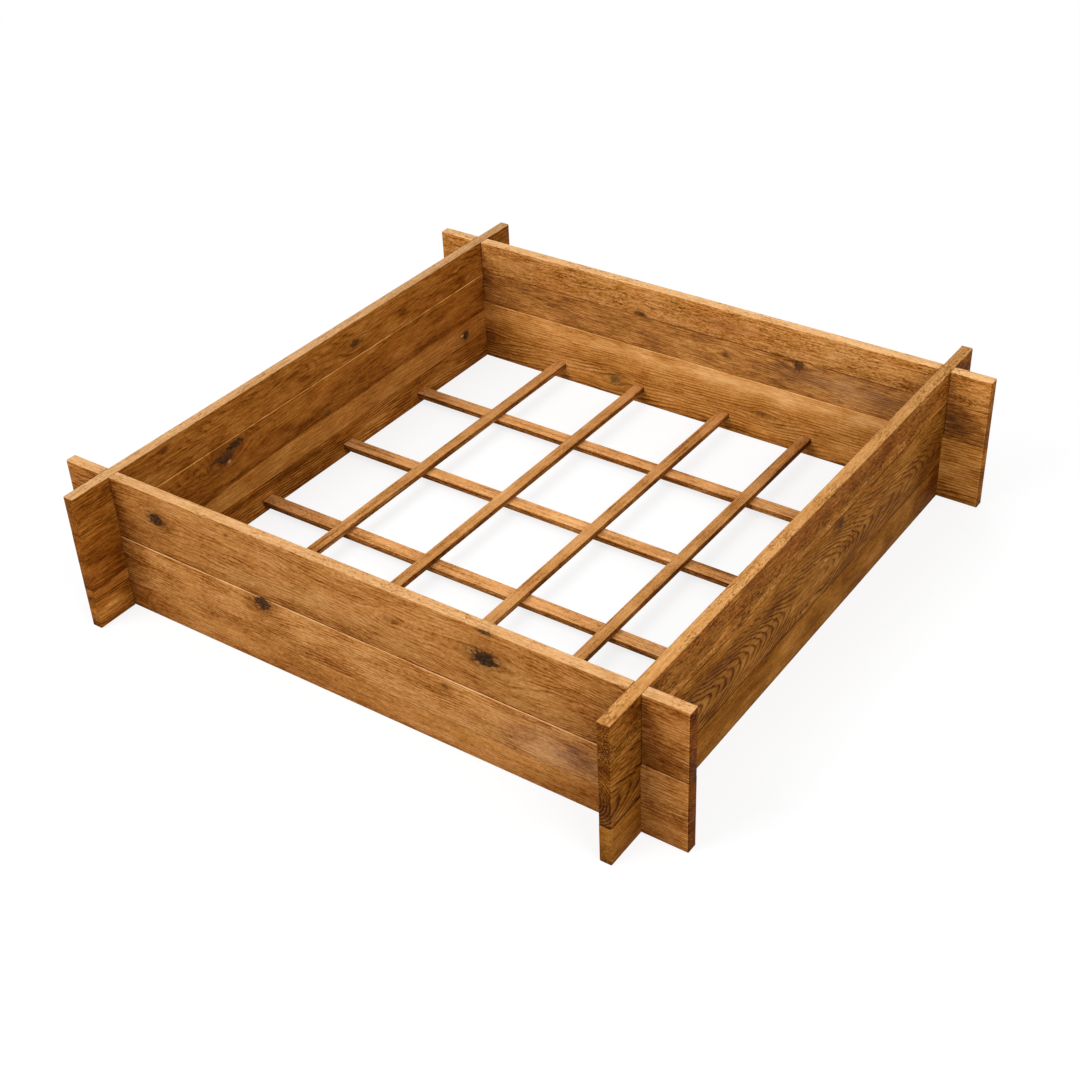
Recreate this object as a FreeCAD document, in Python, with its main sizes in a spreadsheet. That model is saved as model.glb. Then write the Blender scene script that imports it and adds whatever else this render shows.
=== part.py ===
import FreeCAD, Part
import os
import Sketcher

# A square raised garden bed. Four edge-glued wooden walls cross near their ends and lock together
# with half-height slots; a grid of thin slats is housed in the walls just above the ground.
# Millimetres, +X along the front wall, +Y from the front wall to the back wall, +Z up,
# origin on the ground at the centre of the footprint.

document = FreeCAD.newDocument("GardenBed")
sheet = document.addObject("Spreadsheet::Sheet", "Sheet")

drivingSizes = {
    # walls
    "wall_length": 1000,
    "wall_spread": 870,        # outer face to outer face of two facing walls
    "wall_thick": 18,
    "wall_height": 217,
    "lap_level": 108.5,        # height where the slots of crossing walls meet
    "lap_slack": 0.5,          # air on each side of a wall in its slot
    "arris": 1,                # eased edge around each wall
    # glue seams between the boards of each wall, above the ground; a board may be sawn to a taper,
    # so the upper seam has a height at each end of the wall, the left one first as seen from outside
    "front_lower_seam": 43,
    "front_upper_seam_start": 120.4,
    "front_upper_seam_end": 110.2,
    "right_lower_seam": 58,
    "right_upper_seam_start": 159.6,
    "right_upper_seam_end": 164,
    "back_lower_seam": 105,
    "back_upper_seam_start": 164,
    "back_upper_seam_end": 164,
    "left_lower_seam": 49,
    "left_upper_seam_start": 157,
    "left_upper_seam_end": 157,
    # floor slats
    "slat_thick": 10,
    "lower_slat_width": 22,
    "upper_slat_width": 18,
    "lower_slat_base": 12,     # underside of the lower slats
    "slat_arris": 0.6,
    "housing_depth": 8,        # blind housing in a wall's inner face
    "housing_slack": 0.5,      # air beside, above and behind a slat's end
    # slat centre lines
    "lower_slat_1": -151,
    "lower_slat_2": 40,
    "lower_slat_3": 231,
    "upper_slat_1": -259,
    "upper_slat_2": -102,
    "upper_slat_3": 60,
    "upper_slat_4": 209,
}

for row, (alias, value) in enumerate(drivingSizes.items(), start=1):
    sheet.set(f"A{row}", alias)
    sheet.set(f"B{row}", str(value))
    sheet.setAlias(f"B{row}", alias)
document.recompute()

# Places worked out from the driving sizes, written as the expressions that the features keep.
wallEnd = "Sheet.wall_length / 2"
wallCentreLine = "(Sheet.wall_spread - Sheet.wall_thick) / 2"
slotOuter = f"({wallCentreLine} + Sheet.wall_thick / 2 + Sheet.lap_slack)"
slotInner = f"({wallCentreLine} - Sheet.wall_thick / 2 - Sheet.lap_slack)"
innerFace = "(Sheet.wall_spread / 2 - Sheet.wall_thick)"
slatReach = f"({innerFace} + Sheet.housing_depth - Sheet.housing_slack)"
lowerSlatBase = "Sheet.lower_slat_base"
upperSlatBase = "(Sheet.lower_slat_base + Sheet.slat_thick)"

# The walls in turning order: each is drawn with its length along X and its inner face towards +Y,
# then turned about the bed's centre by a quarter turn more than the one before.
wallNames = ["front", "right", "back", "left"]
lowerSlats = [1, 2, 3]
upperSlats = [1, 2, 3, 4]


def numberOf(expression):
    return float(sheet.evalExpression(expression.replace("Sheet.", "")))


def originPlane(body, role):
    return next(item for item in body.Origin.OriginFeatures if item.Role == role)


def newSketch(body, name, role):
    sketch = body.newObject("Sketcher::SketchObject", name)
    sketch.AttachmentSupport = [(originPlane(body, role), "")]
    sketch.MapMode = "FlatFace"
    return sketch


# Adds a four-sided outline with upright sides. Its low and its high side each have a height at the
# left and one at the right, and every corner is held by expressions.
def addOutline(sketch, left, right, low, high):
    places = [(left, low[0]), (right, low[1]), (right, high[1]), (left, high[0])]
    corners = [FreeCAD.Vector(numberOf(x), numberOf(z), 0) for x, z in places]
    first = sketch.GeometryCount
    for index in range(4):
        sketch.addGeometry(Part.LineSegment(corners[index], corners[(index + 1) % 4]))
    for index in range(4):
        following = first + (index + 1) % 4
        sketch.addConstraint(Sketcher.Constraint("Coincident", first + index, 2, following, 1))
    for upright in (1, 3):
        sketch.addConstraint(Sketcher.Constraint("Vertical", first + upright))
    held = [("DistanceX", 0, left), ("DistanceX", 2, right)]
    held += [("DistanceY", index, height) for index, (_, height) in enumerate(places)]
    for kind, line, expression in held:
        value = numberOf(expression)
        number = sketch.addConstraint(Sketcher.Constraint(kind, -1, 1, first + line, 1, value))
        sketch.setExpression(f"Constraints[{number}]", expression)


def addRectangle(sketch, left, right, low, high):
    addOutline(sketch, left, right, (low, low), (high, high))


def padSymmetric(body, sketch, thickness):
    pad = body.newObject("PartDesign::Pad", "Pad")
    pad.Profile = sketch
    pad.SideType = "Symmetric"
    pad.setExpression("Length", thickness)
    document.recompute()
    return pad


# Recomputes a pocket and makes sure that it took away the volume it should.
def cutAndCompare(body, pocket, removed):
    before = pocket.BaseFeature.Shape.Volume
    document.recompute()
    lost = before - pocket.Shape.Volume
    if abs(lost - removed) > 0.001 * removed:
        raise RuntimeError(f"{body.Label}: {pocket.Name} removed {lost:.1f}, not {removed:.1f}")


# Chamfers every edge of the feature whose end points pass the given test.
def easeEdges(body, feature, wanted, size):
    names = []
    for index, edge in enumerate(feature.Shape.Edges, start=1):
        if wanted([vertex.Point for vertex in edge.Vertexes]):
            names.append(f"Edge{index}")
    chamfer = body.newObject("PartDesign::Chamfer", "Ease")
    chamfer.Base = (feature, names)
    chamfer.setExpression("Size", size)
    document.recompute()


def newBody(label, turn):
    body = document.addObject("PartDesign::Body", label)
    body.Label = label
    body.Placement = FreeCAD.Placement(
        FreeCAD.Vector(0, 0, 0), FreeCAD.Rotation(FreeCAD.Vector(0, 0, 1), 90 * turn))
    return body


# Moves a turned wall board out from the bed's centre to its wall's centre line.
def standOnWallLine(body, turn):
    outward = [("y", "-"), ("x", ""), ("y", ""), ("x", "-")][turn]
    body.setExpression(f"Placement.Base.{outward[0]}", f"{outward[1]}{wallCentreLine}")


# Saws the two slots from the board's edge to the lap level. The edge's level is the one halfway
# along the wall: on a tapered board the one slot is as much deeper as the other is shallower.
def cutLapSlots(body, edgeLevel, fromAbove):
    runOut = "Sheet.wall_thick"
    low = "Sheet.lap_level" if fromAbove else f"{edgeLevel} - {runOut}"
    high = f"{edgeLevel} + {runOut}" if fromAbove else "Sheet.lap_level"
    sketch = newSketch(body, "LapSlots", "XZ_Plane")
    addRectangle(sketch, f"-{slotOuter}", f"-{slotInner}", low, high)
    addRectangle(sketch, slotInner, slotOuter, low, high)
    pocket = body.newObject("PartDesign::Pocket", "LapSlotCut")
    pocket.Profile = sketch
    pocket.SideType = "Symmetric"
    pocket.setExpression("Length", "2 * Sheet.wall_thick")
    slotWidth = numberOf(slotOuter) - numberOf(slotInner)
    slotHeight = abs(numberOf(edgeLevel) - numberOf("Sheet.lap_level"))
    cutAndCompare(body, pocket, 2 * slotWidth * slotHeight * numberOf("Sheet.wall_thick"))
    return pocket


# Sinks a blind housing for each slat end into the wall's inner face.
def cutHousings(body, centres, base, slatWidth):
    half = f"({slatWidth} / 2 + Sheet.housing_slack)"
    top = f"{base} + Sheet.slat_thick + Sheet.housing_slack"
    sketch = newSketch(body, "Housings", "XZ_Plane")
    sketch.setExpression("AttachmentOffset.Base.z", "-Sheet.wall_thick / 2")
    for centre in centres:
        addRectangle(sketch, f"{centre} - {half}", f"{centre} + {half}", base, top)
    pocket = body.newObject("PartDesign::Pocket", "HousingCut")
    pocket.Profile = sketch
    pocket.Reversed = True
    pocket.setExpression("Length", "Sheet.housing_depth")
    opening = 2 * numberOf(half) * (numberOf(top) - numberOf(base))
    cutAndCompare(body, pocket, len(centres) * opening * numberOf("Sheet.housing_depth"))
    return pocket


# The expression for a height that changes evenly along the wall, taken at one place.
def heightAt(height, place):
    start, end = height
    if start == end:
        return start
    return f"({start} + ({end} - {start}) * ({place} + {wallEnd}) / Sheet.wall_length)"


# One board of a wall, from left to right along the wall and from low to high. Both heights are
# given as they are at the two ends of the wall.
def addBoard(label, turn, left, right, low, high, slotEdge=None, slotFromAbove=False, housings=None):
    body = newBody(label, turn)
    outline = newSketch(body, "Outline", "XZ_Plane")
    addOutline(outline, left, right, [heightAt(low, place) for place in (left, right)],
               [heightAt(high, place) for place in (left, right)])
    feature = padSymmetric(body, outline, "Sheet.wall_thick")
    if slotEdge:
        feature = cutLapSlots(body, slotEdge, slotFromAbove)
    if housings:
        feature = cutHousings(body, *housings)

    end = numberOf(wallEnd)
    face = numberOf("Sheet.wall_thick / 2")
    rims = (0, numberOf("Sheet.wall_height"))

    def onWallOutline(points):
        if any(abs(abs(point.y) - face) > 0.01 for point in points):
            return False
        if abs(points[0].y - points[1].y) > 0.01:
            return False
        atRim = any(all(abs(point.z - rim) < 0.01 for point in points) for rim in rims)
        atEnd = all(abs(abs(point.x) - end) < 0.01 for point in points)
        return atRim or atEnd

    if any(onWallOutline([vertex.Point for vertex in edge.Vertexes]) for edge in feature.Shape.Edges):
        easeEdges(body, feature, onWallOutline, "Sheet.arris")
    standOnWallLine(body, turn)


# The two short ends of a board that the slots cut right through, named by where they stand.
def addStubs(wall, turn, level, low, high):
    sides = {"front": ("left", "right"), "right": ("front", "back"),
             "back": ("right", "left"), "left": ("back", "front")}[wall]
    addBoard(f"{wall}_wall_{level}_stub_{sides[0]}", turn, f"-{wallEnd}", f"-{slotOuter}", low, high)
    addBoard(f"{wall}_wall_{level}_stub_{sides[1]}", turn, slotOuter, wallEnd, low, high)


def addWall(wall, turn):
    ground = ("0", "0")
    lowerSeam = (f"Sheet.{wall}_lower_seam", f"Sheet.{wall}_lower_seam")
    upperSeam = (f"Sheet.{wall}_upper_seam_start", f"Sheet.{wall}_upper_seam_end")
    rim = ("Sheet.wall_height", "Sheet.wall_height")
    whole = (f"-{wallEnd}", wallEnd)
    between = (f"-{slotInner}", slotInner)
    if wall in ("front", "back"):
        # slots from the top edge: the top board is cut through, the middle one is notched
        sign = "" if wall == "front" else "-"
        centres = [f"{sign}Sheet.upper_slat_{number}" for number in upperSlats]
        housings = (centres, upperSlatBase, "Sheet.upper_slat_width")
        addBoard(f"{wall}_wall_top_board", turn, *between, upperSeam, rim)
        addStubs(wall, turn, "top", upperSeam, rim)
        addBoard(f"{wall}_wall_middle_board", turn, *whole, lowerSeam, upperSeam,
                 slotEdge=heightAt(upperSeam, "0"), slotFromAbove=True)
        addBoard(f"{wall}_wall_bottom_board", turn, *whole, ground, lowerSeam, housings=housings)
    else:
        # slots from the bottom edge: the bottom board is cut through, the middle one is notched
        sign = "" if wall == "right" else "-"
        centres = [f"{sign}Sheet.lower_slat_{number}" for number in lowerSlats]
        housings = (centres, lowerSlatBase, "Sheet.lower_slat_width")
        addBoard(f"{wall}_wall_top_board", turn, *whole, upperSeam, rim)
        addBoard(f"{wall}_wall_middle_board", turn, *whole, lowerSeam, upperSeam, slotEdge=lowerSeam[0])
        addBoard(f"{wall}_wall_bottom_board", turn, *between, ground, lowerSeam, housings=housings)
        addStubs(wall, turn, "bottom", ground, lowerSeam)


# One floor slat: a planed strip with eased long edges, its ends inside the housings.
def addSlat(label, turn, width, base, offsetAxis, offset):
    body = newBody(label, turn)
    section = newSketch(body, "Section", "YZ_Plane")
    addRectangle(section, f"-{width} / 2", f"{width} / 2", "0", "Sheet.slat_thick")
    strip = padSymmetric(body, section, f"2 * {slatReach}")

    def isLong(points):
        return abs(points[0].x - points[1].x) > numberOf("Sheet.wall_length") / 2

    easeEdges(body, strip, isLong, "Sheet.slat_arris")
    body.setExpression("Placement.Base.z", base)
    body.setExpression(f"Placement.Base.{offsetAxis}", offset)


for turn, wall in enumerate(wallNames):
    addWall(wall, turn)
for number in lowerSlats:
    addSlat(f"floor_slat_lower_{number}", 0, "Sheet.lower_slat_width", lowerSlatBase,
            "y", f"Sheet.lower_slat_{number}")
for number in upperSlats:
    addSlat(f"floor_slat_upper_{number}", 1, "Sheet.upper_slat_width", upperSlatBase,
            "x", f"Sheet.upper_slat_{number}")
document.recompute()

for item in document.Objects:
    if "Invalid" in item.State or "Error" in item.State:
        raise RuntimeError(f"{item.Label} did not compute: {item.State}")

pieces = [item for item in document.Objects if item.TypeId == "PartDesign::Body"]
for piece in pieces:
    shape = piece.Shape
    if shape.isNull() or not shape.isValid() or len(shape.Solids) != 1:
        raise RuntimeError(f"{piece.Label} is not one valid solid")

os.makedirs("parts", exist_ok=True)
for piece in pieces:
    piece.Shape.exportStep(f"parts/{piece.Label}.step")
print(len(pieces), "pieces written")
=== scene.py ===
import bpy
import math
from mathutils import Matrix, Vector


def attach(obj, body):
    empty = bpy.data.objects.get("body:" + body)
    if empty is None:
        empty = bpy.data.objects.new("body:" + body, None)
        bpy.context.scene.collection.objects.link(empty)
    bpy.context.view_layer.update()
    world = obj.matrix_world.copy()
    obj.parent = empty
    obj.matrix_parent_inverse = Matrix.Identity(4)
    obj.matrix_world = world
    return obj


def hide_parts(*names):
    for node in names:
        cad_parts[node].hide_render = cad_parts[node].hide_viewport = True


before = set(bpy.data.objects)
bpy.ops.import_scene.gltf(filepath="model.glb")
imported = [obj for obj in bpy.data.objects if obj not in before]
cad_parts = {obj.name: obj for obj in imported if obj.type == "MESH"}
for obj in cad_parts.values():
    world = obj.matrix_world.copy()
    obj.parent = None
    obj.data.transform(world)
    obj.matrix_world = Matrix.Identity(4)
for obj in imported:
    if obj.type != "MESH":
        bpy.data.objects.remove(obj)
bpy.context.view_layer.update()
print("frame loaded,", len(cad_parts), "nodes")


# The camera is turned a little about its own axis, as it was in the photo.
cameraSet = {
    "target": (0.03981, 0.01801, 0.0),
    "distance": 2.53145,
    "azimuth": 34.792,      # degrees to the right of straight in front
    "elevation": 35.411,
    "roll": -1.8,
    "lens": 56.867,
    "sensor": 36,
    "shift": (-0.03447, 0.00512),
    "reach": 100,
}


def placeCamera():
    azimuth, elevation, roll = (math.radians(cameraSet[key]) for key in ("azimuth", "elevation", "roll"))
    back = Vector((math.sin(azimuth) * math.cos(elevation),
                   -math.cos(azimuth) * math.cos(elevation), math.sin(elevation)))
    right = (-back).cross(Vector((0, 0, 1))).normalized()
    up = right.cross(-back)
    across = right * math.cos(roll) + up * math.sin(roll)
    upright = up * math.cos(roll) - right * math.sin(roll)
    data = bpy.data.cameras.new("photo_view")
    data.sensor_width = cameraSet["sensor"]
    data.lens = cameraSet["lens"]
    data.shift_x, data.shift_y = cameraSet["shift"]
    data.clip_end = cameraSet["reach"]
    camera = bpy.data.objects.new("photo_view", data)
    turn = Matrix((across, upright, back)).transposed().to_4x4()
    place = Vector(cameraSet["target"]) + back * cameraSet["distance"]
    camera.matrix_world = Matrix.Translation(place) @ turn
    bpy.context.scene.collection.objects.link(camera)
    bpy.context.scene.camera = camera


placeCamera()
print("camera placed")


# A socket with operators, so that shader maths reads as an expression.
class Wire:
    def __init__(self, tree, socket=None):
        self.tree = tree
        self.socket = socket

    def node(self, kind, inputs=None, settings=None, output=0):
        made = self.tree.nodes.new(kind)
        for name, value in (settings or {}).items():
            if name == "stops":
                elements = made.color_ramp.elements
                while len(elements) < len(value):
                    elements.new(1.0)
                for element, (position, colour) in zip(elements, value):
                    element.position = position
                    element.color = (*colour, 1)
            else:
                setattr(made, name, value)
        for name, value in (inputs or {}).items():
            if isinstance(value, Wire):
                self.tree.links.new(value.socket, made.inputs[name])
            else:
                made.inputs[name].default_value = value
        return Wire(self.tree, made.outputs[output]) if made.outputs else None

    def maths(self, operation, *values):
        return self.node("ShaderNodeMath", dict(enumerate(values)), {"operation": operation})

    def __add__(self, other):
        return self.maths("ADD", self, other)

    def __sub__(self, other):
        return self.maths("SUBTRACT", self, other)

    def __rsub__(self, other):
        return self.maths("SUBTRACT", other, self)

    def __mul__(self, other):
        return self.maths("MULTIPLY", self, other)

    def __truediv__(self, other):
        return self.maths("DIVIDE", self, other)

    def __abs__(self):
        return self.maths("ABSOLUTE", self)


def rise(value, low, high):
    return value.node("ShaderNodeMapRange", {"Value": value, "From Min": low, "From Max": high},
                      {"interpolation_type": "SMOOTHSTEP"})


def noise(wire, place, detail, roughness):
    spot = wire.node("ShaderNodeCombineXYZ", dict(enumerate(place)))
    return wire.node("ShaderNodeTexNoise", {"Vector": spot, "Scale": 1.0, "Detail": detail,
                                            "Roughness": roughness})


def mixColour(mask, under, over, blend="MIX"):
    return mask.node("ShaderNodeMix", {0: mask, 6: under, 7: over},
                     {"data_type": "RGBA", "blend_type": blend}, output=2)


def ramp(value, stops):
    return value.node("ShaderNodeValToRGB", {0: value}, {"stops": stops})


def newMaterial(name):
    material = bpy.data.materials.new(name)
    material.use_nodes = True
    material.node_tree.nodes.clear()
    return material, Wire(material.node_tree)


def millimetres(wire):
    place = wire.node("ShaderNodeTexCoord", output="Object")
    return [wire.node("ShaderNodeSeparateXYZ", {0: place}, output=part) * 1000 for part in range(3)]


# Noise drawn out along the wood. A kind says how far its grains reach along, across and through the
# wood in millimetres, where it starts, its detail and its roughness.
def grain(wire, place, kind, seed=0):
    along, across, through = place
    reachAlong, reachAcross, reachThrough, start, detail, roughness = kind
    return noise(wire, (along / reachAlong + seed, across / reachAcross, through / reachThrough + start),
                 detail, roughness)


def fibreRelief(weights, fine, grit, late, ticks):
    return (fine * weights["fine"] + grit * weights["grit"] - late * weights["late"]
            - ticks * weights["ticks"])


woodLook = {"roughness": 0.74, "specular": 0.035, "bumpStrength": 0.6, "bumpDepth": 0.0004}


def woodSurface(wire, colour, rough, relief):
    normal = wire.node("ShaderNodeBump", {
        "Strength": woodLook["bumpStrength"], "Distance": woodLook["bumpDepth"], "Height": relief})
    surface = wire.node("ShaderNodeBsdfPrincipled", {
        "Base Color": colour, "Roughness": rough + woodLook["roughness"],
        "Specular IOR Level": woodLook["specular"], "Normal": normal})
    wire.node("ShaderNodeOutputMaterial", {"Surface": surface})


def stain(red, green, blue):
    return tuple(((c / 255 + 0.055) / 1.055) ** 2.4 for c in (red, green, blue))


def shades(lift, *colours):
    return [(position, tuple(min(0.9, lift * c) for c in stain(*colour)))
            for position, colour in zip((0.0, 0.25, 0.5, 0.75, 1.0), colours)]


boardGrains = {
    "sway": (260, 75, 75, 0, 2, 0.5),
    "ripple": (50, 16, 16, 0, 2, 0.5),
    "ringFade": (130, 12, 40, 5, 1, 0.5),
    "broad": (190, 9, 12, 0, 3, 0.55),
    "flame": (40, 7, 8, 4, 3, 0.6),
    "fine": (30, 2.2, 2.2, 0, 3, 0.6),
    "grit": (6, 2.4, 2.4, 8, 3, 0.7),
    "cloud": (90, 36, 60, 9, 3, 0.6),
    "tick": (5.5, 1.6, 1.6, 3, 1.5, 0.5),
    "tickPlace": (60, 16, 22, 7, 2, 0.5),
    "hue": (110, 50, 60, 13, 3, 0.5),
}

# How dark a growth ring is on the way from one ring to the next.
ringStops = [(position, (dark, dark, dark)) for position, dark in (
    (0.0, 0.25), (0.10, 0.0), (0.55, 0.05), (0.80, 0.70), (0.92, 1.0), (1.0, 0.25))]

# Pairs are where something sets in and where it is full. Millimetres count from the bed's middle, from
# the ground or from the board's own seams; tones are added or taken away.
boardLook = {
    "reddish": (1.0, 0.78, 0.60, 1), "reddishFrom": (0.40, 0.66),
    "tickPlaces": (0.32, 0.56), "tickSoftness": 0.08,
    "ringFade": (0.3, 0.6), "ringLeft": 0.25, "rippleDrift": 0.6,
    "face": (7.4, 9.0),
    "end": (498.6, 499.4),
    "endArris": (496.5, 499.6), "endArrisTone": 0.10,
    "cornerAt": 426, "cornerReach": 22,
    "stub": (432, 446), "stubShade": 0.07, "stubArrisHighlight": 0.7, "stubSeamShadeAndDirt": 0.25,
    "arrisFull": 0.3, "seamShadeAndDirtFull": 0.2,
    "foot": (9, 0), "footTone": 0.10,
    "topEdge": (215.6, 216.6), "topEdgeShare": 0.93,
    "sapBend": (-480, -150), "sapSlope": 0.006, "sapSway": 8, "sapSoftness": 1.0,
    "sapBorder": 3.5, "sapBorderReach": 4.0, "sapBorderTone": 0.16,
}

# Distances in a knot count from its middle, and its outline is at 1.
knotLook = {
    "heartColour": (0.030, 0.013, 0.006, 1),
    "coreColour": (0.170, 0.092, 0.048, 1),
    "rimColour": (0.010, 0.004, 0.002, 1),
    "haloColour": (0.20, 0.068, 0.012, 1),
    "fibreSize": 0.85, "fibreLength": 2.0, "fibreEase": 1.05,
    "jagged": 1.9, "jagLength": 6, "jagHeight": 4, "jagStep": 40,
    "rays": 2.2, "rayTurn": 24, "rayWidth": (0.0, 0.05),
    "haloFade": 0.24,
    "heart": (1.10, 0.60),
    "rimAt": 0.90, "rim": (0.30, 0.06),
    "crack": (0.07, 0.02), "crackReach": (2.3, 0.9),
    "years": 11, "yearJag": 6,
    "yearShare": 0.3, "jagShare": 2.6, "coreShare": 0.30,
    "haloShare": 0.72, "heartShare": 0.88, "rimShare": 0.80, "crackShare": 0.75,
    "rimRelief": 0.9, "crackRelief": 1.2, "heartRelief": 0.4,
}

boardRelief = {"fine": 0.6, "grit": 0.5, "late": 0.35, "ticks": 0.8}
topEdge = {"broad": 0.5, "fine": 1.2, "grit": 1.1, "cloud": 0.5, "level": 0.52, "ticks": 0.5}

# What a board looks like unless its own entry says otherwise.
plainBoard = {
    "sway": 10, "ripple": 3, "ringDrift": 1.2, "level": 0.50, "slopes": (0, 0),
    "broad": 0.34, "flame": 0.20, "grit": 0.42, "fine": 0.72, "cloud": 0.55,
    "late": 0.20, "ticks": 0.12, "tickStart": 0.60, "corner": 0.12, "redden": 0.22,
    "arris": (1.2, 0.0), "seamShadeAndDirt": (1.2, 0.25),
    "knots": (), "swells": (), "calm": (), "patches": (), "tints": (), "flecks": (),
}


# The wood of one wall board, worked out in millimetres along, up and through it.
class BoardWood:
    def __init__(self, name, look):
        self.look = look
        self.material, self.wire = newMaterial(name)
        x, y, self.height = millimetres(self.wire)
        middle = look["centreLine"]
        self.along, self.depth = (x, y - middle) if look["axis"] == "x" else (y, x - middle)
        self.bendFibres()
        self.growRings()
        self.layFibres()

    def grain(self, kind, across):
        return grain(self.wire, (self.along, across, self.depth), boardGrains[kind], self.look["seed"])

    def oval(self, spot):
        farA = (self.along - spot[0]) / spot[2]
        farH = (self.height - spot[1]) / spot[3]
        return farA * farA + farH * farH

    def soft(self, spot):
        return self.wire.maths("EXPONENT", self.oval(spot) * -1.0)

    # the fibres sway, and part around each knot
    def bendFibres(self):
        self.sway = self.grain("sway", self.height) - 0.5
        self.ripple = self.grain("ripple", self.height) - 0.5
        self.flow = self.height + self.sway * self.look["sway"] + self.ripple * self.look["ripple"]
        for knot in self.look["knots"]:
            dA = (self.along - knot[0]) / knotLook["fibreLength"]
            dH = self.height - knot[1]
            size = (knot[2] + knot[3]) * knotLook["fibreSize"]
            room = dA * dA + dH * dH + size * size * knotLook["fibreEase"]
            self.flow = self.flow - dH * (size * size) / room

    # growth rings are cut where the board lies in the log
    def growRings(self):
        ringH, ringT, pitch, taper = self.look["rings"]
        drift = self.look["ringDrift"]
        offH = self.flow - ringH
        offT = self.depth - ringT
        ring = self.wire.maths("SQRT", offH * offH + offT * offT) / pitch + self.along * (taper / pitch)
        ring = ring + self.sway * drift + self.ripple * (drift * boardLook["rippleDrift"])
        for spot in self.look["swells"]:
            ring = ring + self.soft(spot) * spot[4]
        fade = rise(self.grain("ringFade", self.flow), *boardLook["ringFade"])
        fade = fade * (1 - boardLook["ringLeft"]) + boardLook["ringLeft"]
        self.late = ramp(self.wire.maths("FRACT", ring), ringStops) * fade
        for spot in self.look["calm"]:
            self.late = self.late * (1 - self.soft(spot) * spot[4])

    # fibres go from long and broad to short and gritty
    def layFibres(self):
        self.broad, self.flame, self.fine, self.grit = (
            self.grain(kind, self.flow) - 0.5 for kind in ("broad", "flame", "fine", "grit"))
        self.cloud = self.grain("cloud", self.height) - 0.5
        start = self.look["tickStart"]
        self.ticks = (rise(self.grain("tick", self.flow), start, start + boardLook["tickSoftness"])
                      * rise(self.grain("tickPlace", self.height), *boardLook["tickPlaces"]))

    def fibreTone(self):
        look = self.look
        tone = (self.broad * look["broad"] + self.flame * look["flame"] + self.fine * look["fine"]
                + self.grit * look["grit"] + self.cloud * look["cloud"] + look["level"]
                - self.late * look["late"] - self.ticks * look["ticks"])
        for spot in look["patches"]:
            streaks = self.flame * 2.2 + self.cloud * 1.6 + 0.8
            tone = tone + self.soft(spot) * streaks * spot[4]
        return tone

    # paler sapwood below a line that bends down towards the near end
    def addSapwood(self, tone):
        near, far = self.look["sapwood"]
        line = (rise(self.along, *boardLook["sapBend"]) * (far - near) + near
                + self.along * boardLook["sapSlope"] + self.sway * boardLook["sapSway"])
        sap = rise(self.height, line + boardLook["sapSoftness"], line - boardLook["sapSoftness"])
        away = abs(self.height - line - boardLook["sapBorder"]) / -boardLook["sapBorderReach"]
        border = self.wire.maths("EXPONENT", away)
        return tone + sap * self.look["sapTone"] - border * (1 - sap) * boardLook["sapBorderTone"]

    # end grain, wear, painted shade by the crossing wall and over the seams, and a painted highlight on the
    # seam arris follow the board's own edges
    def addWearAndPaintedLight(self, tone):
        look = self.look
        far = abs(self.along)
        face = rise(abs(self.depth), *boardLook["face"])
        end = rise(far, *boardLook["end"])
        # painted shade, with some darker stain, by the crossing wall; the stub beyond it gets more painted
        # shade
        corner = self.wire.maths("EXPONENT", abs(far - boardLook["cornerAt"]) / -boardLook["cornerReach"])
        stub = rise(far, *boardLook["stub"])
        tone = tone - end * look["endDarken"] - corner * look["corner"] - stub * boardLook["stubShade"]
        tone = tone + rise(far, *boardLook["endArris"]) * face * (1 - end) * boardLook["endArrisTone"]
        low, high = look["seams"]
        lowSlope, highSlope = look["slopes"]
        if not look["isTop"]:       # painted highlight on the arris just under the upper seam; painted shade where negative
            start, arris = look["arris"]
            under = self.along * highSlope - self.height + high
            shown = rise(under, start, boardLook["arrisFull"]) * face * (1 - stub * boardLook["stubArrisHighlight"])
            tone = tone + shown * arris
        if low > 0:                 # painted shade, with some dirt, just over the lower seam
            start, seamShadeAndDirt = look["seamShadeAndDirt"]
            over = self.height - self.along * lowSlope - low
            return tone - rise(over, start, boardLook["seamShadeAndDirtFull"]) * (stub * boardLook["stubSeamShadeAndDirt"] + seamShadeAndDirt)
        return tone - rise(self.height, *boardLook["foot"]) * boardLook["footTone"]

    # a ragged dark heart with year rings, a black rim, cracks and a reddish glow around it
    def addKnot(self, knot, colour, relief):
        wire, seed, dark = self.wire, self.look["seed"], knot[4]
        dA = self.along - knot[0]
        dH = self.height - knot[1]
        jagPlace = (dA / knotLook["jagLength"], dH / knotLook["jagHeight"],
                    seed + knot[0] / knotLook["jagStep"])
        jag = noise(wire, jagPlace, 3, 0.75) - 0.5
        reach = wire.maths("SQRT", dA * dA + dH * dH + 0.01)
        rayPlace = (dA / reach * knotLook["rays"], dH / reach * knotLook["rays"],
                    reach / knotLook["rayTurn"] + seed)
        ray = abs(noise(wire, rayPlace, 2, 0.6) - 0.5)
        away = wire.maths("SQRT", self.oval(knot)) + jag * knotLook["jagged"]
        halo = wire.maths("EXPONENT", away * away * -knotLook["haloFade"])
        heart = rise(away, *knotLook["heart"])
        rim = rise(abs(away - knotLook["rimAt"]), *knotLook["rim"]) * rise(ray, *knotLook["rayWidth"])
        crack = rise(ray * away, *knotLook["crack"]) * rise(away, *knotLook["crackReach"])
        year = wire.maths("SINE", away * knotLook["years"] + jag * knotLook["yearJag"]) * 0.5 + 0.5
        coreShare = year * knotLook["yearShare"] + jag * knotLook["jagShare"] + knotLook["coreShare"]
        heartColour = mixColour(coreShare, knotLook["heartColour"], knotLook["coreColour"])
        colour = mixColour(halo * (knotLook["haloShare"] * dark), colour, knotLook["haloColour"])
        colour = mixColour(heart * (knotLook["heartShare"] * dark), colour, heartColour)
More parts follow.
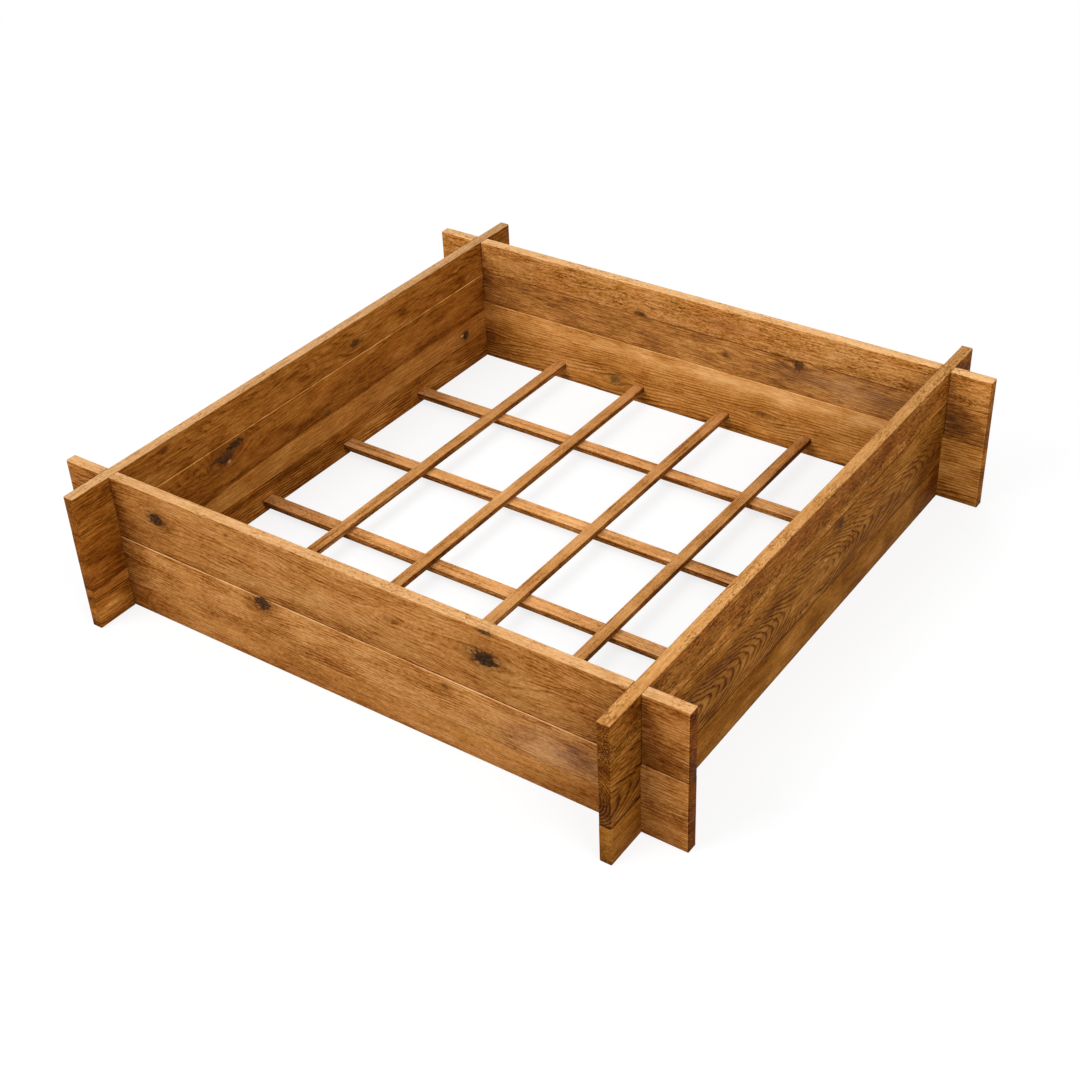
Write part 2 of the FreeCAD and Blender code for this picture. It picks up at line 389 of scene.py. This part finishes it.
        colour = mixColour(rim * (knotLook["rimShare"] * dark), colour, knotLook["rimColour"])
        colour = mixColour(crack * (knotLook["crackShare"] * dark), colour, knotLook["rimColour"])
        relief = (relief - rim * knotLook["rimRelief"] - crack * knotLook["crackRelief"]
                  + heart * knotLook["heartRelief"])
        return colour, relief

    # the sawn top edge is paler, and a knot hardly shows on it
    def addTopEdge(self, colour):
        tone = (self.broad * topEdge["broad"] + self.fine * topEdge["fine"] + self.grit * topEdge["grit"]
                + self.cloud * topEdge["cloud"] + topEdge["level"] - self.ticks * topEdge["ticks"])
        edge = ramp(tone, self.look["edgePalette"])
        return mixColour(rise(self.height, *boardLook["topEdge"]) * boardLook["topEdgeShare"], colour, edge)

    def finish(self):
        look = self.look
        tone = self.fibreTone()
        if "sapwood" in look:
            tone = self.addSapwood(tone)
        colour = ramp(self.addWearAndPaintedLight(tone), look["palette"])
        hue = rise(self.grain("hue", self.height), *boardLook["reddishFrom"])
        colour = mixColour(hue * look["redden"], colour, boardLook["reddish"], "MULTIPLY")
        for spot in look["tints"]:
            colour = mixColour(self.soft(spot) * (self.flame * 2 + 0.9) * spot[5], colour, (*spot[4], 1))
        relief = fibreRelief(boardRelief, self.fine, self.grit, self.late, self.ticks)
        for knot in look["knots"]:
            colour, relief = self.addKnot(knot, colour, relief)
        for spot in look["flecks"]:
            fleck = rise(self.oval(spot) + self.ripple * 1.6, 1.0, 0.4)
            colour = mixColour(fleck * spot[5], colour, (*spot[4], 1))
        if look["isTop"]:
            colour = self.addTopEdge(colour)
        woodSurface(self.wire, colour, self.fine * 0.25 - self.late * 0.05, relief)
        return self.material


# The four walls: seams above the ground in millimetres, and what each board looks like.
# A knot is (along, up, half length, half height, darkness); a patch, a swell of the rings or a calm
# place without rings (along, up, half length, half height, amount); a tint and a fleck end with
# colour and strength.
walls = {
    # The dark patches at the left end of the front wall's boards are partly darker stain and partly painted
    # shade beside the crossing wall.
    "front": {
        "axis": "x", "centreLine": -426,
        "palette": shades(1.18, (58, 24, 3), (120, 65, 15), (171, 115, 57), (194, 143, 90), (214, 166, 116)),
        "edgePalette": shades(0.78, (165, 105, 50), (203, 147, 86), (229, 172, 112), (241, 189, 132),
                              (250, 206, 154)),
        "endDarken": 0.29,
        "boards": {
            "top": {
                "seams": (115.3, 217), "slopes": (-0.0102, 0), "sink": 0.5, "seed": 3.1, "level": 0.50,
                "sway": 18, "ripple": 4, "rings": (-10, -70, 4.4, 0.03), "ringDrift": 1.8,
                "broad": 0.18, "flame": 0.12, "grit": 0.64, "fine": 0.66, "late": 0.20, "seamShadeAndDirt": (2.4, 0.55),
                "knots": ((-336, 176, 11, 8, 0.95), (214, 172, 16, 10, 1.0), (216, 214, 9, 3, 0.7),
                          (-205, 200, 4, 2.5, 0.25), (65, 172, 9, 4, 0.14)),
                "patches": ((-405, 160, 40, 90, -0.16), (395, 140, 40, 60, -0.08), (-100, 123, 220, 6, -0.16),
                            (-60, 150, 160, 20, 0.06), (360, 212, 60, 7, -0.10), (-330, 150, 60, 14, -0.10)),
                "swells": ((80, 150, 90, 26, 1.4), (-150, 190, 70, 16, -1.2), (250, 140, 60, 20, 1.8)),
            },
            "middle": {
                "seams": (43, 115.3), "slopes": (0, -0.0102), "sink": 0.0, "seed": 17.4, "level": 0.51,
                "sway": 9, "rings": (-60, -50, 4.0, 0.012), "broad": 0.20, "flame": 0.12, "grit": 0.70,
                "fine": 0.80, "cloud": 0.8, "late": 0.20,
                "arris": (1.9, 0.50), "seamShadeAndDirt": (0.9, 0.12), "redden": 0.12,
                "knots": ((-155, 108, 11, 9, 0.9), (150, 100, 4, 3, 0.4)),
                "patches": ((260, 88, 30, 18, -0.16), (345, 78, 34, 24, -0.18), (-385, 60, 50, 60, -0.12),
                            (300, 62, 44, 14, 0.14), (-175, 92, 14, 10, -0.18)),
                # The second tint, pale and greyish on the right of the board, is a painted soft reflection.
                "tints": ((-152, 102, 9, 8, stain(92, 84, 80), 0.35),
                          (310, 72, 80, 28, stain(196, 164, 138), 0.20)),
            },
            "bottom": {
                "seams": (0, 43), "sink": 0.15, "seed": 29.9, "level": 0.48,
                "sway": 7, "rings": (-90, -40, 3.6, 0.02), "broad": 0.20, "grit": 0.55, "fine": 0.58,
                "late": 0.12, "arris": (1.2, 0.05), "redden": 0.12,
                "patches": ((-380, 25, 70, 50, -0.12), (-60, 30, 90, 20, -0.08), (360, 24, 60, 20, -0.12)),
            },
        },
    },
    "back": {
        "axis": "x", "centreLine": 426,
        "palette": shades(1.34, (60, 27, 2), (122, 70, 18), (171, 115, 53), (196, 145, 88), (220, 172, 118)),
        "edgePalette": shades(0.98, (165, 112, 60), (206, 154, 98), (226, 175, 118), (237, 189, 136),
                              (246, 206, 156)),
        "endDarken": 0.20,
        "boards": {
            "top": {
                "seams": (164, 217), "sink": 0.0, "seed": 41.2, "level": 0.56,
                "sway": 6, "ripple": 5, "rings": (260, -60, 4.5, 0.02), "broad": 0.3, "grit": 0.9,
                "fine": 1.15, "late": 0.06, "ticks": 0.20, "tickStart": 0.53, "redden": 0.3,
                "knots": ((-99, 168, 9, 4, 0.55),),
                "tints": ((60, 190, 44, 12, stain(128, 62, 40), 0.35),),
                "patches": ((-290, 196, 60, 14, -0.10), (10, 208, 50, 8, -0.10)),
            },
            "middle": {
                "seams": (105, 164), "sink": 0.45, "seed": 53.6, "level": 0.42,
                "sway": 5, "ripple": 2, "rings": (-80, -60, 3.0, 0.006), "ringDrift": 0.6,
                "broad": 0.20, "flame": 0.12, "grit": 0.55, "fine": 1.15, "cloud": 0.8, "late": 0.26,
                "arris": (2.0, -0.22), "seamShadeAndDirt": (1.6, 0.40), "redden": 0.15,
                "knots": ((190, 156, 7, 8, 0.6), (60, 138, 9, 4, 0.22)),
                "patches": ((-390, 130, 80, 50, -0.16), (-180, 135, 60, 20, -0.08)),
                "tints": ((280, 138, 110, 22, stain(136, 106, 82), 0.40),
                          (0, 136, 600, 50, stain(152, 112, 74), 0.22)),
            },
            "bottom": {
                "seams": (0, 105), "sink": 0.1, "seed": 67.3, "level": 0.56,
                "sway": 12, "ripple": 3, "rings": (-20, -50, 4.0, -0.030), "ringDrift": 1.2,
                "broad": 0.18, "flame": 0.11, "fine": 0.66, "cloud": 0.7, "late": 0.32,
                "arris": (2.2, 0.18), "redden": 0.15,
                "knots": ((-149, 30, 9, 7, 0.4), (133, 47, 12, 4, 0.22), (-410, 40, 12, 8, 0.25)),
                "patches": ((0, 92, 500, 14, 0.15), (-390, 50, 60, 60, -0.20), (0, 8, 600, 24, -0.20),
                            (-90, 50, 60, 8, -0.16)),
                "calm": ((100, 90, 400, 16, 0.6),),
                "tints": ((-149, 30, 16, 10, stain(92, 86, 46), 0.40),),
            },
        },
    },
    "left": {
        "axis": "y", "centreLine": -426,
        "palette": shades(1.50, (50, 24, 1), (96, 50, 6), (132, 80, 25), (158, 107, 48), (188, 137, 76)),
        "edgePalette": shades(0.88, (145, 98, 50), (184, 136, 84), (209, 157, 104), (221, 175, 124),
                              (234, 192, 146)),
        "endDarken": 0.06,
        "boards": {
            "top": {
                "seams": (157, 217), "sink": 0.4, "seed": 71.8, "level": 0.51,
                "sway": 20, "ripple": 7, "rings": (170, -42, 4.2, 0.03), "ringDrift": 2.4,
                "flame": 0.10, "grit": 0.50, "fine": 1.05, "late": 0.21, "seamShadeAndDirt": (1.6, 0.45), "redden": 0.2,
                "knots": ((81, 181, 9, 5, 0.7), (-330, 205, 5, 3, 0.4)),
                "swells": ((-220, 195, 60, 20, 2.6), (-60, 200, 50, 18, -2.2), (90, 198, 40, 16, 2.2),
                           (300, 185, 90, 16, 1.2)),
                "patches": ((300, 172, 120, 12, -0.10),),
            },
            "middle": {
                "seams": (49, 157), "sink": 0.0, "seed": 83.5, "level": 0.47, "endDarken": 0.08,
                "sway": 12, "ripple": 4, "rings": (118, -48, 4.0, -0.02), "ringDrift": 1.6,
                "broad": 0.22, "flame": 0.11, "fine": 0.92, "cloud": 0.7, "late": 0.13,
                "arris": (1.9, 0.62), "seamShadeAndDirt": (2.0, 0.45),
                "knots": ((-222, 134, 13, 8, 0.95), (-200, 145, 15, 5, 0.9), (-240, 137, 10, 3, 0.6),
                          (359, 67, 8, 6, 0.95), (-2, 96, 9, 4, 0.35)),
                "sapwood": (67, 88), "sapTone": 0.20,
                "patches": ((-345, 110, 80, 34, -0.16), (30, 112, 130, 18, -0.08)),
                "swells": ((-290, 140, 40, 18, 3.4), (-160, 145, 50, 14, -2.4), (100, 138, 70, 14, 1.6)),
                "flecks": ((-216, 123, 6, 4, stain(196, 150, 110), 0.8),
                           (350, 69, 5, 2.6, stain(206, 170, 130), 0.9)),
            },
            "bottom": {
                "seams": (0, 49), "sink": 0.15, "seed": 97.2, "level": 0.47,
                "sway": 12, "rings": (-40, -40, 3.6, 0.02), "fine": 1.15, "late": 0.42, "cloud": 0.8,
                "patches": ((-200, 42, 240, 8, -0.22), (110, 24, 60, 14, 0.20), (-320, 14, 120, 22, -0.14),
                            (-470, 26, 34, 26, 0.20)),
                "calm": ((-470, 26, 34, 26, 0.8),),
            },
        },
    },
    "right": {
        "axis": "y", "centreLine": 426,
        "palette": shades(1.20, (48, 21, 1), (88, 45, 4), (125, 77, 22), (160, 107, 48), (192, 142, 80)),
        "edgePalette": shades(0.81, (152, 98, 44), (192, 133, 68), (213, 153, 88), (226, 169, 106),
                              (238, 188, 130)),
        "endDarken": 0.10,
        "boards": {
            "top": {
                "seams": (161.8, 217), "slopes": (0.0044, 0), "sink": 0.0, "seed": 101.7, "level": 0.53,
                "sway": 6, "ripple": 5, "rings": (260, -60, 4.4, 0.02), "broad": 0.18, "flame": 0.10,
                "grit": 1.05, "fine": 1.25, "cloud": 0.95, "late": 0.06, "ticks": 0.32, "tickStart": 0.53,
                "seamShadeAndDirt": (3.0, -0.14), "redden": 0.5,
                "tints": ((-30, 204, 340, 14, stain(152, 80, 44), 0.25),),
                "patches": ((380, 180, 50, 40, 0.10), (0, 167, 900, 8, 0.12)),
            },
            "middle": {
                "seams": (58, 161.8), "slopes": (0, 0.0044), "sink": 0.4, "seed": 113.4, "level": 0.56,
                "endDarken": 0.15,
                "sway": 7, "ripple": 6, "rings": (95, -21, 4.3, 0.20), "ringDrift": 1.8,
                "broad": 0.24, "flame": 0.20, "grit": 0.60, "fine": 0.95, "cloud": 0.9, "late": 0.54,
                "arris": (5.0, -0.20), "seamShadeAndDirt": (6.0, 0.26), "redden": 0.15,
                "knots": ((75, 152, 7, 5, 0.6),),
                "swells": ((-12, 74, 46, 11, 3.0), (-75, 92, 80, 80, 2.0), (160, 92, 80, 80, 2.0)),
                "calm": ((0, 158, 900, 16, 0.7), (-22, 104, 44, 18, 0.8), (225, 100, 36, 22, 0.6),
                         (390, 100, 60, 60, 0.6)),
                "tints": ((75, 149, 8, 9, stain(38, 42, 22), 0.7),),
                "patches": ((-250, 140, 160, 12, -0.10), (380, 90, 50, 40, -0.18), (60, 105, 160, 22, 0.08)),
            },
            "bottom": {
                "seams": (0, 58), "sink": 0.1, "seed": 127.1, "level": 0.54, "endDarken": 0.0,
                "sway": 8, "ripple": 1, "rings": (-120, -60, 5.0, 0.01), "ringDrift": 0.6,
                "broad": 0.18, "flame": 0.10, "grit": 0.5, "fine": 0.75, "cloud": 0.9, "late": 0.06,
                "redden": 0.12, "patches": ((400, 34, 60, 50, -0.34), (-330, 40, 120, 30, -0.12)),
            },
        },
    },
}

# Every edge is rounded a little, so that each seam between boards shows as a fine groove. Lengths are
# in metres and angles in degrees.
edging = {"width": 0.0006, "steps": 2, "sharp": 30, "smooth": 35, "flat": 1, "sameSpot": 0.00001}
halfThickness = 9


# A copy of a piece with eased edges, and with its faces set back by the sink in millimetres.
def easedCopy(node, sink=0, axis="x", centreLine=0):
    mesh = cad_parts[node].data.copy()
    mesh.materials.clear()
    piece = bpy.data.objects.new(f"{node}_eased", mesh)
    bpy.context.scene.collection.objects.link(piece)
    bpy.ops.object.select_all(action="DESELECT")
    piece.select_set(True)
    bpy.context.view_layer.objects.active = piece
    bpy.ops.object.mode_set(mode="EDIT")
    bpy.ops.mesh.select_all(action="SELECT")
    bpy.ops.mesh.remove_doubles(threshold=edging["sameSpot"])
    bpy.ops.mesh.dissolve_limited(angle_limit=math.radians(edging["flat"]))
    if sink:
        thinner = 1 - sink / halfThickness
        centre = (0, centreLine / 1000, 0) if axis == "x" else (centreLine / 1000, 0, 0)
        scale = (1, thinner, 1) if axis == "x" else (thinner, 1, 1)
        bpy.ops.transform.resize(value=scale, center_override=centre)
    bpy.ops.object.mode_set(mode="OBJECT")
    bevel = piece.modifiers.new("edges", "BEVEL")
    bevel.width = edging["width"]
    bevel.segments = edging["steps"]
    bevel.limit_method = "ANGLE"
    bevel.angle_limit = math.radians(edging["sharp"])
    bpy.ops.object.modifier_apply(modifier="edges")
    bpy.ops.object.shade_smooth_by_angle(angle=math.radians(edging["smooth"]))
    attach(piece, "root")
    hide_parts(node)
    return piece


for wallName, wall in walls.items():
    for boardName, board in wall["boards"].items():
        look = {**plainBoard, **wall, **board, "isTop": boardName == "top"}
        material = BoardWood(f"{wallName} wall, {boardName} board", look).finish()
        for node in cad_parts:
            if node.startswith(f"{wallName}_wall_{boardName}"):
                piece = easedCopy(node, look["sink"], look["axis"], look["centreLine"])
                piece.data.materials.append(material)
    print(wallName, "wall boards done")


# The floor slats are planed strips, with painted shade on their sides, so they look brighter on top. The base
# is a slat's underside above the ground in millimetres.
slats = {
    "lower": {"axis": "x", "base": 12, "palette": shades(
        1.21, (74, 34, 6), (132, 80, 30), (190, 134, 79), (214, 160, 104), (232, 182, 128))},
    "upper": {"axis": "y", "base": 22, "palette": shades(
        0.97, (74, 34, 6), (132, 79, 27), (190, 132, 73), (214, 158, 98), (232, 180, 122))},
}

slatLook = {
    "level": 0.57, "sway": 5, "broad": 0.6, "fine": 0.5, "grit": 0.4, "cloud": 0.7, "late": 0.14,
    "ticks": 0.18, "tickEdge": (0.58, 0.66),
    "ringWidth": 3.1, "ringHeight": 5, "ringLength": 160, "ringDark": (0.45, 0.9), "ringEnd": (1.0, 0.93),
    "side": (9.4, 8.6), "sideShade": 0.31,
    "housing": (400, 417), "housingTone": 0.05,
}

slatGrains = {
    "sway": (200, 30, 30, 0, 2, 0.5),
    "broad": (160, 5, 5, 0, 2, 0.5),
    "fine": (18, 1.3, 1.3, 0, 3, 0.65),
    "grit": (5, 1.8, 1.8, 0, 3, 0.7),
    "cloud": (60, 40, 40, 0, 3, 0.5),
    "tick": (6, 1.4, 1.4, 0, 1, 0.5),
}

slatRelief = {"fine": 0.6, "grit": 0.4, "late": 0.3, "ticks": 0.6}


def slatMaterial(name, axis, base, palette):
    material, wire = newMaterial(name)
    x, y, height = millimetres(wire)
    along, across = (x, y) if axis == "x" else (y, x)

    def slatGrain(kind, side):
        return grain(wire, (along, side, height), slatGrains[kind])

    flow = across + (slatGrain("sway", across) - 0.5) * slatLook["sway"]
    broad, fine, grit = (slatGrain(kind, flow) - 0.5 for kind in ("broad", "fine", "grit"))
    cloud = slatGrain("cloud", across) - 0.5
    ring = wire.maths("FRACT", flow / slatLook["ringWidth"] + height / slatLook["ringHeight"]
                      + along / slatLook["ringLength"])
    late = rise(ring, *slatLook["ringDark"]) * rise(ring, *slatLook["ringEnd"])
    ticks = rise(slatGrain("tick", flow), *slatLook["tickEdge"])
    # painted shade on the slat's sides, below its top face
    side = rise(height, *(base + up for up in slatLook["side"]))
    housing = rise(abs(along), *slatLook["housing"])
    tone = (broad * slatLook["broad"] + fine * slatLook["fine"] + grit * slatLook["grit"]
            + cloud * slatLook["cloud"] + slatLook["level"] - late * slatLook["late"]
            - ticks * slatLook["ticks"] - side * slatLook["sideShade"] - housing * slatLook["housingTone"])
    relief = fibreRelief(slatRelief, fine, grit, late, ticks)
    woodSurface(wire, ramp(tone, palette), fine * 0.2, relief)
    return material


slatWoods = {row: slatMaterial(f"{row} slats", **look) for row, look in slats.items()}
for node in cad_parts:
    if node.startswith("floor_slat"):
        piece = easedCopy(node)
        piece.data.materials.append(slatWoods[node.split("_")[2]])
print("floor slats done")


# A plain white floor and soft studio light.
studio = {
    "floorSize": 60,
    "floorDrop": 0.0005,
    "floorShare": 0.22,     # how much of the floor's look near the bed comes from the light on it
    "floorFade": 1.5,       # metres over which that share fades to plain white
    "floorColour": 0.55,
    "skyLevel": 0.40,
    "lamps": {
        "key_light": {"place": (-1.45, -3.0, 3.4), "size": 2.4, "watts": 135},
        "side_light": {"place": (2.7, -0.9, 2.6), "size": 2.2, "watts": 78},
        "back_light": {"place": (-2.2, 3.0, 2.6), "size": 2.4, "watts": 45},
    },
}


def seenDirectly(wire):
    rays = {name: wire.node("ShaderNodeLightPath", output=name)
            for name in ("Is Camera Ray", "Is Glossy Ray", "Is Transmission Ray")}
    return wire.maths("MAXIMUM", wire.maths("MAXIMUM", rays["Is Camera Ray"], rays["Is Glossy Ray"]),
                      rays["Is Transmission Ray"])


def layFloor():
    bpy.ops.object.select_all(action="DESELECT")
    bpy.ops.mesh.primitive_plane_add(size=studio["floorSize"], location=(0, 0, -studio["floorDrop"]))
    floor = bpy.context.object
    floor.name = "studio_floor"
    material, wire = newMaterial("white studio floor")
    seen = seenDirectly(wire)
    level = seen * (1 - studio["floorColour"]) + studio["floorColour"]
    paper = wire.node("ShaderNodeBsdfDiffuse", {"Color": level})
    white = wire.node("ShaderNodeEmission", {"Color": (1, 1, 1, 1), "Strength": 1.0})
    place = wire.node("ShaderNodeTexCoord", output="Object")
    distance = wire.node("ShaderNodeVectorMath", {0: place}, {"operation": "LENGTH"}, output=1)
    far = distance / studio["floorFade"]
    share = wire.maths("EXPONENT", far * far * -1.0) * studio["floorShare"]
    surface = wire.node("ShaderNodeMixShader", {0: seen * (1 - share), 1: paper, 2: white})
    wire.node("ShaderNodeOutputMaterial", {"Surface": surface})
    floor.data.materials.append(material)


def lightStudio():
    world = bpy.data.worlds.new("studio")
    bpy.context.scene.world = world
    world.use_nodes = True
    world.node_tree.nodes.clear()
    wire = Wire(world.node_tree)
    soft = wire.node("ShaderNodeBackground", {"Color": (1, 1, 1, 1), "Strength": studio["skyLevel"]})
    white = wire.node("ShaderNodeBackground", {"Color": (1, 1, 1, 1), "Strength": 1.0})
    surface = wire.node("ShaderNodeMixShader", {0: seenDirectly(wire), 1: soft, 2: white})
    wire.node("ShaderNodeOutputWorld", {"Surface": surface})
    for name, lamp in studio["lamps"].items():
        data = bpy.data.lights.new(name, "AREA")
        data.size = lamp["size"]
        data.energy = lamp["watts"]
        light = bpy.data.objects.new(name, data)
        light.location = lamp["place"]
        light.rotation_euler = (-Vector(lamp["place"])).to_track_quat("-Z", "Y").to_euler()
        bpy.context.scene.collection.objects.link(light)


layFloor()
lightStudio()
bpy.context.scene.view_settings.view_transform = "Standard"
print("studio done")
